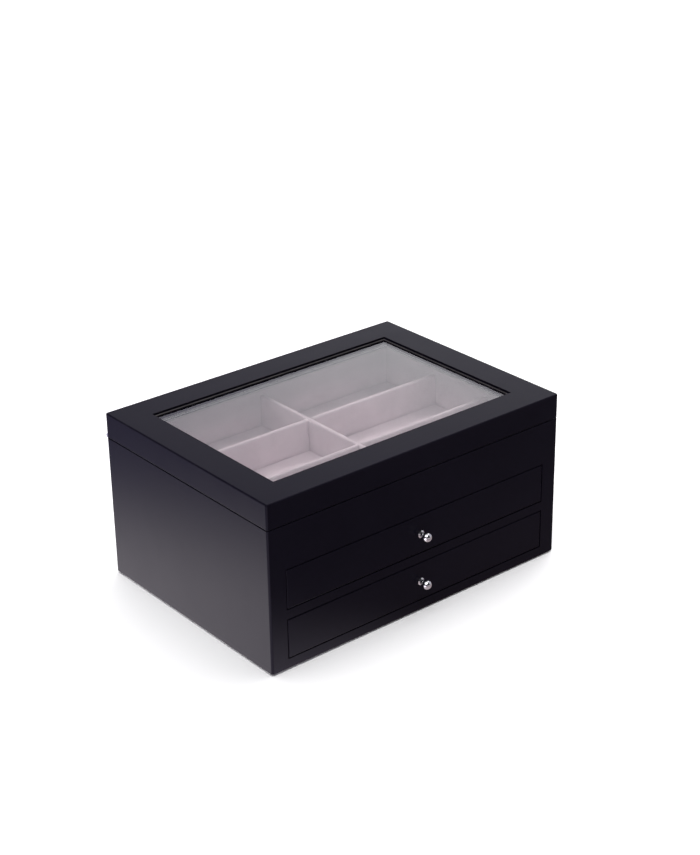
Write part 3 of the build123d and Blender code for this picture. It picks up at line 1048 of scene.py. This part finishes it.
@dataclass
class Upholstery:
    """The velvet of one body."""

    body: Body
    velvet: PileCloth

    pad_fill = 0.5
    wall_fill = 0.8
    divider_fill = 0.9

    def seat(self, piece: Piece, fill: float, node: str, velvet: Optional[PileCloth] = None) -> None:
        """Dresses a padded piece and puts it in place of its solid.

        Args:
            piece: The velvet piece.
            fill: How full its padding is; not used.
            node: The solid that it stands for.
            velvet: Its cloth, where that isn't the usual one.
        """
        (velvet or self.velvet).dress(piece)
        settle(piece, self.body, Slot.VELVET, node)


@dataclass
class LinedTray(Upholstery):
    """The tray under the lid: four lined walls, a foam pad and three interlocked dividers.

    The velvet of the back and right walls has painted shade: it turns darker towards their top.
    """

    # painted shade: the tone at the top of the back and right walls
    painted_shade_tone: Colour = (0.40, 0.355, 0.38, 1.0)
    painted_shade_rise: Range = (0.1, 0.8)  # where it starts and is full, as shares of the walls' height
    lap_play: float = 0.1 * MM

    @property
    def painted_shade(self) -> PileCloth:
        """The velvet of the back and right walls, with painted shade towards their top."""
        wall = Room.of("tray_lining_back")
        rise = tuple(wall.low.z + share * wall.size.z for share in self.painted_shade_rise)
        name = f"{self.velvet.name}_stroked"
        return replace(self.velvet, name=name, painted_shade=self.painted_shade_tone, painted_shade_rise=rise)

    @property
    def across(self) -> list[float]:
        """Y of the two dividers that run across, from the front."""
        return [Room.of(f"tray_divider_{side}").middle.y for side in ("front", "rear")]

    @property
    def deep(self) -> float:
        """X of the divider that runs deep."""
        return Room.of("tray_divider_cross").middle.x

    def build(self) -> None:
        """Makes the pad first, then the walls round it and the dividers that stand on it."""
        pad = FoamPad("velvet_tray_pad", Room.of("tray_floor_pad"), self.across, [self.deep])
        self.seat(pad.build(), self.pad_fill, "tray_floor_pad")
        self._walls()
        self._dividers()

    def _walls(self) -> None:
        """Lines the four walls; the padding swells between the dividers."""
        for index, (side, (run, inward)) in enumerate(WALLS.items()):
            node = f"tray_lining_{side}"
            room = Room.of(node)
            lines = [self.deep] if run is Run.ACROSS else self.across
            bays = [room.low[run.value], *lines, room.high[run.value]]
            name = f"velvet_wall_{side}"
            card = WrappedCard(
                name, room, run, roll=0.7 * MM, swell=0.35 * MM, inward=inward, bays=bays, seed=2.0 + index
            )
            # painted shade on the back and right walls
            velvet = self.painted_shade if side in ("back", "right") else self.velvet
            self.seat(card.build(), self.wall_fill, node, velvet)

    def _dividers(self) -> None:
        """Makes the dividers, with the half-lap slots where they cross."""
        cross = Room.of("tray_divider_cross")
        half = cross.size.x / 2 + self.lap_play
        lap = cross.middle.z
        slots = []
        for index, (side, line) in enumerate(zip(("front", "rear"), self.across)):
            room = Room.of(f"tray_divider_{side}")
            slot = room.ranged(0, self.deep - half, self.deep + half)
            slot = slot.ranged(1, room.low.y - MM, room.high.y + MM)
            slot = slot.ranged(2, lap - self.lap_play, room.high.z + MM)
            name = f"velvet_divider_{side}"
            card = WrappedCard(name, room, Run.ACROSS, roll=1.9 * MM, slots=[slot], seed=11.0 + index)
            self.seat(card.build(), self.divider_fill, f"tray_divider_{side}")
            slot = cross.ranged(0, cross.low.x - MM, cross.high.x + MM).ranged(1, line - half, line + half)
            slots.append(slot.ranged(2, cross.low.z - MM, lap + self.lap_play))
        card = WrappedCard("velvet_divider_cross", cross, Run.DEEP, roll=1.9 * MM, slots=slots, seed=15.0)
        self.seat(card.build(), self.divider_fill, "tray_divider_cross")


@dataclass
class LinedDrawer(Upholstery):
    """The velvet of a drawer: lined walls, a pad and, in the upper one, two dividers."""

    compartments: int = 1
    wall: float = 1.2 * MM

    @property
    def lines(self) -> list[float]:
        """X of the dividers, evenly spaced over the pad."""
        room = Room.of(f"{self.body.value}_pad")
        return [room.low.x + room.size.x * index / self.compartments for index in range(1, self.compartments)]

    def build(self) -> None:
        """Makes the pad, the four walls as one piece and the dividers as another."""
        name = self.body.value
        pad = FoamPad(f"velvet_{name}_pad", Room.of(f"{name}_pad"), (), self.lines, line_half=1.9 * MM)
        self.seat(pad.build(), self.pad_fill, f"{name}_pad")
        self._seat_cards("walls", self._walls(), self.wall_fill, f"{name}_lining")
        if self.lines:
            self._seat_cards("dividers", self._dividers(), self.divider_fill, f"{name}_dividers")

    def _seat_cards(self, kind: str, cards: Sequence[WrappedCard], fill: float, node: str) -> None:
        """Seats several cards as one piece."""
        made = Workshop.joined(f"velvet_{self.body.value}_{kind}", [card.build() for card in cards])
        self.seat(made, fill, node)

    def _walls(self) -> list[WrappedCard]:
        """The lining of the four walls; the side walls stand between the other two.

        Returns:
            The cards.
        """
        room = Room.of(f"{self.body.value}_lining")
        low, high, wall = room.low, room.high, self.wall
        between = room.ranged(1, low.y + wall, high.y - wall)
        rooms = {
            "front": room.ranged(1, low.y, low.y + wall),
            "back": room.ranged(1, high.y - wall, high.y),
            "left": between.ranged(0, low.x, low.x + wall),
            "right": between.ranged(0, high.x - wall, high.x),
        }
        cards = []
        for index, (side, (run, inward)) in enumerate(WALLS.items()):
            bays = [low.x, *self.lines, high.x] if run is Run.ACROSS else []
            shape = {"roll": 0.55 * MM, "swell": 0.12 * MM, "inward": inward, "bays": bays}
            cards.append(WrappedCard(side, rooms[side], run, seed=21.0 + index, **shape))
        return cards

    def _dividers(self) -> list[WrappedCard]:
        """The two dividers.

        Returns:
            The cards.
        """
        room = Room.of(f"{self.body.value}_dividers")
        half = (room.size.x - (self.lines[-1] - self.lines[0])) / 2
        rooms = [room.ranged(0, line - half, line + half) for line in self.lines]
        return [
            WrappedCard(f"divider_{index}", place, Run.DEEP, roll=1.4 * MM, seed=31.0 + index)
            for index, place in enumerate(rooms)
        ]


@dataclass
class BaseFelt:
    """The felt under the box: a die-cut sheet with a slightly fuzzy edge."""

    finish: PileCloth
    corner: float = 2.0 * MM
    step: float = 2.0 * MM
    fuzz: float = 0.12 * MM

    def build(self) -> None:
        room = Room.of("base_felt")
        rings = []
        for inset, share in ((0.5, 0.0), (0.12, 0.15), (0.0, 0.5), (0.12, 0.85), (0.5, 1.0)):
            height = room.low.z + room.size.z * share
            rings.append([self._frayed(point, height) for point in self._outline(room, inset * MM)])
        made = Workshop.piece("felt_base", Workshop.lofted(rings), sharp_degrees=60.0)
        self.finish.dress(made)
        settle(made, Body.CASE, Slot.FELT, "base_felt")

    def _outline(self, room: Room, inset: float) -> list[Vector]:
        """A rectangle with round corners.

        Args:
            room: The box that it fills.
            inset: How far inside the box it runs.

        Returns:
            Its points, once round.
        """
        half = room.size / 2 - Vector((inset + self.corner, inset + self.corner, 0.0))
        arcs = []
        for turn, (sign_x, sign_y) in enumerate(((1, 1), (-1, 1), (-1, -1), (1, -1))):
            centre = room.middle + Vector((sign_x * half.x, sign_y * half.y, 0.0))
            arcs.append([centre + self.corner * Vector((x, y, 0.0)) for x, y in quarter(90.0 * turn, 1)])
        points: list[Vector] = []
        for arc, after in zip(arcs, arcs[1:] + arcs[:1]):
            start, goal = arc[-1], after[0]
            count = round((goal - start).length / self.step)
            points += arc + [start.lerp(goal, index / count) for index in range(1, count)]
        return points

    def _frayed(self, point: Vector, height: float) -> Vector:
        """Moves a point of the edge in a little, as loose fibres do.

        Args:
            point: The point on the outline.
            height: Its height.

        Returns:
            The moved point.
        """
        inward = Vector((point.x, point.y, 0.0)).normalized()
        place = Vector((point.x, point.y, height))
        return place - inward * self.fuzz * (0.5 + 0.5 * waver(place, scale=800.0, seed=5.0))


# ---------------------------------------------------------------- screws
class Head(Enum):
    """The outline of a screw's head: radius and depth of its points, as shares of the whole head's."""

    COUNTERSUNK = ((0.0, 0.0), (0.94, 0.0), (1.0, 1 / 15), (1.0, 2 / 15))
    PAN = ((0.0, 0.0), (0.45, 0.04), (0.75, 0.18), (0.93, 0.42), (1.0, 0.75), (1.0, 0.98))


@dataclass(frozen=True)
class ScrewShape:
    """A cross-recessed wood screw, with the top of its head at the origin and its tip below."""

    head: Head
    head_radius: float
    length: float
    head_height: float
    core_radius: float
    thread_radius: float
    pitch: float = 0.8 * MM
    point: float = 1.6 * MM
    segments: int = 24

    def build(self) -> Piece:
        """Turns the screw.

        Returns:
            The screw as a piece of its own, for the row that repeats it.
        """
        outline = [(self.head_radius * out, -self.head_height * down) for out, down in self.head.value]
        outline.append((self.thread_radius, -self.head_height))
        start = -self.head_height - self.pitch
        outline.append((self.thread_radius * 0.98, start))
        ridges = int((self.length + start - self.point) / self.pitch)
        for index in range(ridges):
            height = start - self.pitch * index
            outline += [(self.core_radius, height - self.pitch * share) for share in (0.3, 0.7)]
            outline.append((self.thread_radius, height - self.pitch))
        tip = start - self.pitch * ridges
        outline += [(self.core_radius, tip - 0.3 * MM), (self.core_radius * 0.6, -self.length * 0.94)]
        outline.append((0.0, -self.length))
        return Workshop.piece("screw_blank", Workshop.turned(outline, self.segments), sharp_degrees=35.0)


@dataclass
class ScrewRow:
    """A row of equal screws along X, repeated and recessed by Geometry Nodes."""

    node: str
    body: Body
    shape: ScrewShape
    finish: Finish
    place: Matrix
    count: int = 1
    step: float = 10.0 * MM
    arm_length: float = 1.15  # of the recess, as a share of the head's radius
    arm_width: float = 0.28
    arm_depth: float = 0.55  # as a share of the head's height

    INPUTS = {
        "Geometry": "NodeSocketGeometry",
        "Count": "NodeSocketInt",
        "Step": "NodeSocketVector",
        "Recess Length": "NodeSocketFloat",
        "Recess Width": "NodeSocketFloat",
        "Recess Depth": "NodeSocketFloat",
        "Finish": "NodeSocketMaterial",
    }

    def build(self) -> None:
        """Makes the row, dresses it and puts it in place of its solids."""
        blank = self.shape.build()
        modifier = blank.modifiers.new("row", "NODES")
        modifier.node_group = bpy.data.node_groups.get("screw_row") or self._tree()
        values = {
            "Count": self.count,
            "Step": Vector((self.step, 0.0, 0.0)),
            "Recess Length": self.shape.head_radius * self.arm_length,
            "Recess Width": self.shape.head_radius * self.arm_width,
            "Recess Depth": self.shape.head_height * self.arm_depth,
            "Finish": self.finish.material(),
        }
        for item in modifier.node_group.interface.items_tree:
            if item.name in values and item.in_out == "INPUT":
                modifier[item.identifier] = values[item.name]
        mesh = Workshop.evaluated(blank)
        bpy.data.objects.remove(blank)
        mesh.name = f"{self.node}_recessed"
        made = Workshop.placed(mesh.name, mesh)
        mesh.transform(self.place)
        mesh.update()
        settle(made, self.body, Slot.SCREW, self.node)

    def _tree(self) -> bpy.types.NodeTree:
        """Wires the tree that recesses a screw's head and repeats the screw.

        Returns:
            The tree.
        """
        tree = bpy.data.node_groups.new("screw_row", "GeometryNodeTree")
        tree.is_modifier = True
        for label, kind in self.INPUTS.items():
            tree.interface.new_socket(name=label, in_out="INPUT", socket_type=kind)
        tree.interface.new_socket(name="Geometry", in_out="OUTPUT", socket_type="NodeSocketGeometry")
        graph = Graph(tree)
        source = graph.node("NodeGroupInput").outputs
        long, wide = source["Recess Length"], source["Recess Width"]
        depth = graph.times(source["Recess Depth"], 2.0)
        arms = graph.node("GeometryNodeJoinGeometry")
        for first, second in ((long, wide), (wide, long)):
            size = graph.node("ShaderNodeCombineXYZ", {"X": first, "Y": second, "Z": depth}).outputs[0]
            bar = graph.node("GeometryNodeMeshCube", {"Size": size})
            graph.fill(arms, {"Geometry": bar.outputs["Mesh"]})
        cut = {"Mesh 1": source["Geometry"], "Mesh 2": arms.outputs["Geometry"]}
        recessed = graph.node("GeometryNodeMeshBoolean", cut, operation="DIFFERENCE").outputs["Mesh"]
        line = graph.node("GeometryNodeMeshLine", {"Count": source["Count"], "Offset": source["Step"]})
        copies = {"Points": line.outputs["Mesh"], "Instance": recessed}
        placed = graph.node("GeometryNodeInstanceOnPoints", copies).outputs["Instances"]
        real = graph.node("GeometryNodeRealizeInstances", {"Geometry": placed}).outputs["Geometry"]
        dressed = graph.node("GeometryNodeSetMaterial", {"Geometry": real, "Material": source["Finish"]})
        graph.node("NodeGroupOutput", {"Geometry": dressed.outputs["Geometry"]})
        return tree


@dataclass
class Hardware:
    """The screws of the hinge and of the knobs."""

    finish: PlatedMetal
    hinge_screws: int = 5

    def build(self) -> None:
        """Makes the two rows in the hinge, one of them upside down, and the screw behind each knob."""
        for node, body in (("hinge_case_screws", Body.CASE), ("hinge_lid_screws", Body.LID)):
            room = Room.of(node)
            radius = room.size.y / 2
            sizes = {"head_height": 0.9 * MM, "core_radius": 0.62 * MM, "thread_radius": 0.88 * MM}
            shape = ScrewShape(Head.COUNTERSUNK, radius, room.size.z, **sizes)
            step = (room.size.x - 2 * radius) / (self.hinge_screws - 1)
            top = room.high.z if body is Body.CASE else room.low.z
            place = Matrix.Translation((room.low.x + radius, room.middle.y, top))
            if body is Body.LID:
                place = place @ Matrix.Rotation(math.pi, 4, "X")
            ScrewRow(node, body, shape, self.finish, place, self.hinge_screws, step).build()
        for body in (Body.UPPER, Body.LOWER):
            node = f"{body.value}_knob_screw"
            room = Room.of(node)
            sizes = {"head_height": 1.6 * MM, "core_radius": 0.9 * MM, "thread_radius": 1.22 * MM}
            shape = ScrewShape(Head.PAN, room.size.x / 2, room.size.y, **sizes)
            place = Matrix.Translation((room.middle.x, room.high.y, room.middle.z))
            place = place @ Matrix.Rotation(-math.pi / 2, 4, "X")
            ScrewRow(node, body, shape, self.finish, place).build()


# ---------------------------------------------------------------- boards, glass and metal of the frame
@dataclass
class Carcass:
    """The rigid nodes that are shown as they are, each with the finish of its slot."""

    lip_width: float = 2.0 * MM
    lip_over_glass: float = 0.7 * MM

    def dress(self) -> None:
        """Gives every shown node its finish."""
        finishes = self._plain_finishes()
        lacquers = self._lacquers()
        slots = {part["node"]: Slot(part["material_slot"]) for part in frame["record"]["subparts"]}
        bodies = frame["record"]["behaviour"]["bodies"]
        body_of = {node: body for body, nodes in bodies.items() for node in nodes}
        for node, piece in frame["nodes"].items():
            finish = lacquers[body_of[node]] if slots[node] is Slot.LACQUER else finishes.get(slots[node])
            if finish is not None:
                finish.dress(piece)
                LOG.info("%s: %s", node, finish.name)

    def _lacquers(self) -> dict[str, SatinLacquer]:
        """One lacquer for each body, whose arrises are rubbed and painted lighter as a highlight where that
        body has them.

        Returns:
            The lacquers by the names of the bodies.
        """
        rooms = {
            Body.CASE: Room.of("side_panel_left", "side_panel_right", "front_top_rail", "back_panel"),
            Body.LID: Room.of("lid_rail_front", "lid_rail_back"),
            Body.UPPER: Room.of("upper_drawer_front"),
            Body.LOWER: Room.of("lower_drawer_front"),
        }
        ledges = {Body.LID: self._ledge()}
        return {
            body.value: SatinLacquer(f"satin_lacquer_{body.value}", room, ledge=ledges.get(body))
            for body, room in rooms.items()
        }

    def _ledge(self) -> Range:
        """Inset and height of the step that runs round the glass, inside the rails of the lid."""
        inset = Room.of("lid_rail_left").size.x - self.lip_width
        return inset, Room.of("glass_pane").high.z + self.lip_over_glass

    @staticmethod
    def _plain_finishes() -> dict[Slot, Finish]:
        """The finishes that are the same wherever they are used."""
        return {
            Slot.DRAWER_WOOD: PaintedWood(
                "drawer_paint", (0.016, 0.015, 0.017, 1.0), (0.030, 0.028, 0.031, 1.0)
            ),
            Slot.INNER_WOOD: PaintedWood(
                "stained_board", (0.030, 0.027, 0.026, 1.0), (0.066, 0.058, 0.054, 1.0), roughness=(0.6, 0.78)
            ),
            Slot.GLASS: FloatGlass("float_glass"),
            Slot.CHROME: PlatedMetal(
                "polished_chrome", (0.83, 0.83, 0.85, 1.0), (0.72, 0.72, 0.75, 1.0), (0.05, 0.14), 0.0005 * MM
            ),
            Slot.NICKEL: PlatedMetal(
                "satin_nickel", (0.64, 0.625, 0.60, 1.0), (0.57, 0.555, 0.53, 1.0), (0.28, 0.34), 0.0018 * MM
            ),
            Slot.RUBBER: SoftRubber("black_rubber"),
        }


# ---------------------------------------------------------------- stage
@dataclass(frozen=True)
class Sky:
    """The world's directions, while it is being wired."""

    graph: Graph
    way: Socket
    height: Socket


@dataclass(frozen=True)
class Patch:
    """A round patch of the world with a soft rim, cut off below and above where it says so."""

    colour: Colour
    way: Way
    spread: Range
    start: Optional[Range] = None
    end: Optional[Range] = None

    def mask(self, sky: Sky) -> Socket:
        """Marks the directions that the patch fills.

        Args:
            sky: The world's directions.

        Returns:
            1 inside the patch, 0 outside.
        """
        inputs = {0: sky.way, 1: Vector(self.way).normalized()}
        near = sky.graph.node("ShaderNodeVectorMath", inputs, operation="DOT_PRODUCT").outputs["Value"]
        share = sky.graph.span(near, *self.spread)
        if self.start is not None:
            share = sky.graph.times(share, sky.graph.span(sky.height, *self.start))
        if self.end is not None:
            share = sky.graph.times(share, sky.graph.span(sky.height, *self.end, 1.0, 0.0))
        return share

    def over(self, sky: Sky, under: Value, colour: Optional[Socket] = None) -> Socket:
        """Lays the patch, or another colour in its outline, over a colour."""
        return sky.graph.blend(self.mask(sky), under, self.colour if colour is None else colour)


@dataclass(frozen=True)
class Studio:
    """A white sweep under a soft overhead lamp, in a studio that only mirrors and diffuse light show.

    At the back a pale dome has a dim patch, a soft box at its side and, low down, a wall with a
    bright window.  In front there is a dark room under the dome, with a soft box of its own.
    """

    dome: Colour = (0.55, 0.55, 0.57, 1.0)
    dim: Patch = Patch((0.14, 0.14, 0.15, 1.0), (-0.10, 1.0, 0.0), (0.40, 0.58), (0.52, 0.60), (0.84, 0.94))
    side_box: Patch = Patch((2.6, 2.5, 2.6, 1.0), (0.58, 0.16, 0.80), (0.94, 0.98))
    wall: Patch = Patch((0.36, 0.345, 0.45, 1.0), (0.62, 0.78, 0.0), (0.1, 0.5), end=(0.5, 0.65))
    window: Patch = Patch((1.40, 1.40, 1.46, 1.0), (0.866, 0.50, 0.0), (0.75, 0.93), end=(0.33, 0.50))
    front: Patch = Patch((0.04, 0.04, 0.045, 1.0), (-0.62, -0.78, 0.0), (0.1, 0.35))
    front_ceiling: Range = (0.75, 0.92)
    soft_box: Patch = Patch((2.4, 2.38, 2.4, 1.0), (-0.45, -0.18, 0.875), (0.80, 0.88))
    diffuse_share: float = 0.72
    lamp_strength: float = 1.95
    lamp_degrees: float = 75.0
    lamp_back: float = -15.0
    lamp_side: float = 9.0
    floor_half: float = 4.0
    floor_drop: float = 0.05 * MM
    floor_tone: float = 0.94
    sight_gain: float = 1.22
    left_shine: Colour = (0.58, 0.54, 0.88, 1.0)
    near_left_shine: Colour = (3.50, 3.30, 3.50, 1.0)
    near_left: Range = (-0.45, -0.19)
    front_shine: Colour = (0.27, 0.235, 0.25, 1.0)
    close_front_shine: Colour = (0.42, 0.35, 0.37, 1.0)
    close_front: Range = (-0.24, -0.15)
    far_front_shine: Colour = (1.25, 1.15, 1.20, 1.0)
    far_front: tuple[Range, Range] = ((-2.2, -1.6), (-0.80, -0.55))
    corner: Range = (-0.08, 0.14)

    def build(self) -> None:
        """Makes the world, the lamp and the floor."""
        self._world()
        self._lamp()
        self._floor()

    def _world(self) -> None:
        """Wires the studio into the world; it is plain white where the view looks at it."""
        world = bpy.data.worlds.new("dome")
        bpy.context.scene.world = world
        graph = Graph.fresh(world)
        way = graph.node("ShaderNodeTexCoord").outputs["Generated"]
        sky = Sky(graph, way, graph.split(way)["Z"])
        back = self.side_box.over(sky, self.dim.over(sky, self.dome))
        back = self.wall.over(sky, back, self.window.over(sky, self.wall.colour))
        ahead = graph.blend(graph.span(sky.height, *self.front_ceiling), self.front.colour, self.dome)
        tone = self.front.over(sky, back, self.soft_box.over(sky, ahead))
        path = graph.node("ShaderNodeLightPath").outputs
        strength = graph.span(path["Is Diffuse Ray"], 0.0, 1.0, 1.0, self.diffuse_share)
        light = graph.node("ShaderNodeBackground", {"Color": tone, "Strength": strength})
        white = graph.node("ShaderNodeBackground", {"Color": (1.0, 1.0, 1.0, 1.0)})
        seen = graph.math("MAXIMUM", path["Is Camera Ray"], path["Is Transmission Ray"])
        mixed = graph.node("ShaderNodeMixShader", {0: seen, 1: light.outputs[0], 2: white.outputs[0]})
        graph.node("ShaderNodeOutputWorld", {"Surface": mixed.outputs[0]})

    def _lamp(self) -> None:
        """A broad soft lamp overhead, a little to the back and right."""
        data = bpy.data.lights.new("overhead", "SUN")
        data.energy = self.lamp_strength
        data.angle = math.radians(self.lamp_degrees)
        lamp = Workshop.placed("overhead", data)
        lamp.rotation_euler = (math.radians(self.lamp_back), math.radians(self.lamp_side), 0.0)
        lamp.visible_glossy = False

    def _floor(self) -> None:
        """A white floor that keeps the box's shadow and has a shine of its own in what mirrors it."""
        half = self.floor_half
        shape = bmesh.new()
        corners = [(-half, -half), (half, -half), (half, half), (-half, half)]
        shape.faces.new([shape.verts.new((x, y, -self.floor_drop)) for x, y in corners])
        mesh = bpy.data.meshes.new("floor")
        shape.to_mesh(mesh)
        shape.free()
        floor = Workshop.placed("floor", mesh)
        material = bpy.data.materials.new("white_sweep")
        graph = Graph.fresh(material)
        path = graph.node("ShaderNodeLightPath").outputs
        gain = graph.span(path["Is Camera Ray"], 0.0, 1.0, self.floor_tone, self.sight_gain)
        tone = graph.node("ShaderNodeCombineColor", {0: gain, 1: gain, 2: gain})
        plain = graph.node("ShaderNodeBsdfDiffuse", {"Color": tone.outputs[0]})
        shine = graph.node("ShaderNodeEmission", {"Color": self._shine(graph)})
        mirrored = graph.math("MAXIMUM", path["Is Glossy Ray"], path["Is Transmission Ray"])
        mixed = graph.node("ShaderNodeMixShader", {0: mirrored, 1: plain.outputs[0], 2: shine.outputs[0]})
        graph.node("ShaderNodeOutputMaterial", {"Surface": mixed.outputs[0]})
        mesh.materials.append(material)

    def _shine(self, graph: Graph) -> Socket:
        """How bright the sweep looks in a mirror: brightest close by on the left of the box.

        Args:
            graph: The floor's nodes.

        Returns:
            The colour.
        """
        place = graph.split(graph.node("ShaderNodeTexCoord").outputs["Object"])
        slant = graph.math("SUBTRACT", place["X"], graph.times(place["Y"], 0.5))
        left = graph.blend(graph.span(slant, *self.near_left), self.left_shine, self.near_left_shine)
        start, end = self.far_front
        far = graph.times(graph.span(place["Y"], *end, 1.0, 0.0), graph.span(place["Y"], *start, 0.1, 1.0))
        close = graph.span(place["Y"], *self.close_front)
        front = graph.blend(close, self.front_shine, self.close_front_shine)
        front = graph.blend(far, front, self.far_front_shine)
        turn = graph.span(graph.math("SUBTRACT", place["X"], place["Y"]), *self.corner)
        return graph.blend(turn, left, front)


@dataclass(frozen=True)
class Viewpoint:
    """Where the camera stands and how it is turned."""

    position: Way = (-0.88473, -1.10216, 0.79415)
    azimuth: float = -39.31
    elevation: float = 25.20
    roll: float = -0.844
    lens: float = 77.72
    sensor: float = 36.0
    clip: float = 0.01

    def build(self) -> None:
        """Makes the camera and hands it to the scene."""
        turn, lift, lean = (math.radians(value) for value in (self.azimuth, self.elevation, self.roll))
        back = Vector((math.sin(turn) * math.cos(lift), -math.cos(turn) * math.cos(lift), math.sin(lift)))
        right = Vector((math.cos(turn), math.sin(turn), 0.0))
        up = back.cross(right)
        leaned_right = right * math.cos(lean) + up * math.sin(lean)
        leaned_up = up * math.cos(lean) - right * math.sin(lean)
        data = bpy.data.cameras.new("camera")
        data.lens = self.lens
        data.sensor_width = self.sensor
        data.clip_start = self.clip
        camera = Workshop.placed("camera", data)
        axes = Matrix((leaned_right, leaned_up, back)).transposed()
        camera.matrix_world = Matrix.Translation(self.position) @ axes.to_4x4()
        bpy.context.scene.camera = camera


def main() -> None:
    """Builds the stage, then dresses the frame and makes each soft and small piece."""
    logging.basicConfig(level=logging.INFO, format="%(message)s")
    bpy.context.scene.view_settings.view_transform = "Standard"
    Viewpoint().build()
    Studio().build()
    Carcass().dress()
    velvet = PileCloth("mauve_velvet", (0.57, 0.455, 0.505, 1.0), (0.645, 0.525, 0.577, 1.0))
    LinedTray(Body.CASE, velvet).build()
    LinedDrawer(Body.UPPER, velvet, compartments=3).build()
    LinedDrawer(Body.LOWER, velvet).build()
    felt = PileCloth("black_felt", (0.020, 0.020, 0.023, 1.0), (0.050, 0.050, 0.055, 1.0), 1500.0, 0.2 * MM)
    BaseFelt(felt).build()
    colours = (0.62, 0.61, 0.58, 1.0), (0.45, 0.44, 0.41, 1.0)
    steel = PlatedMetal("screw_steel", *colours, roughness=(0.2, 0.4), relief=0.004 * MM)
    Hardware(steel).build()


if __name__ == "__main__":
    main()
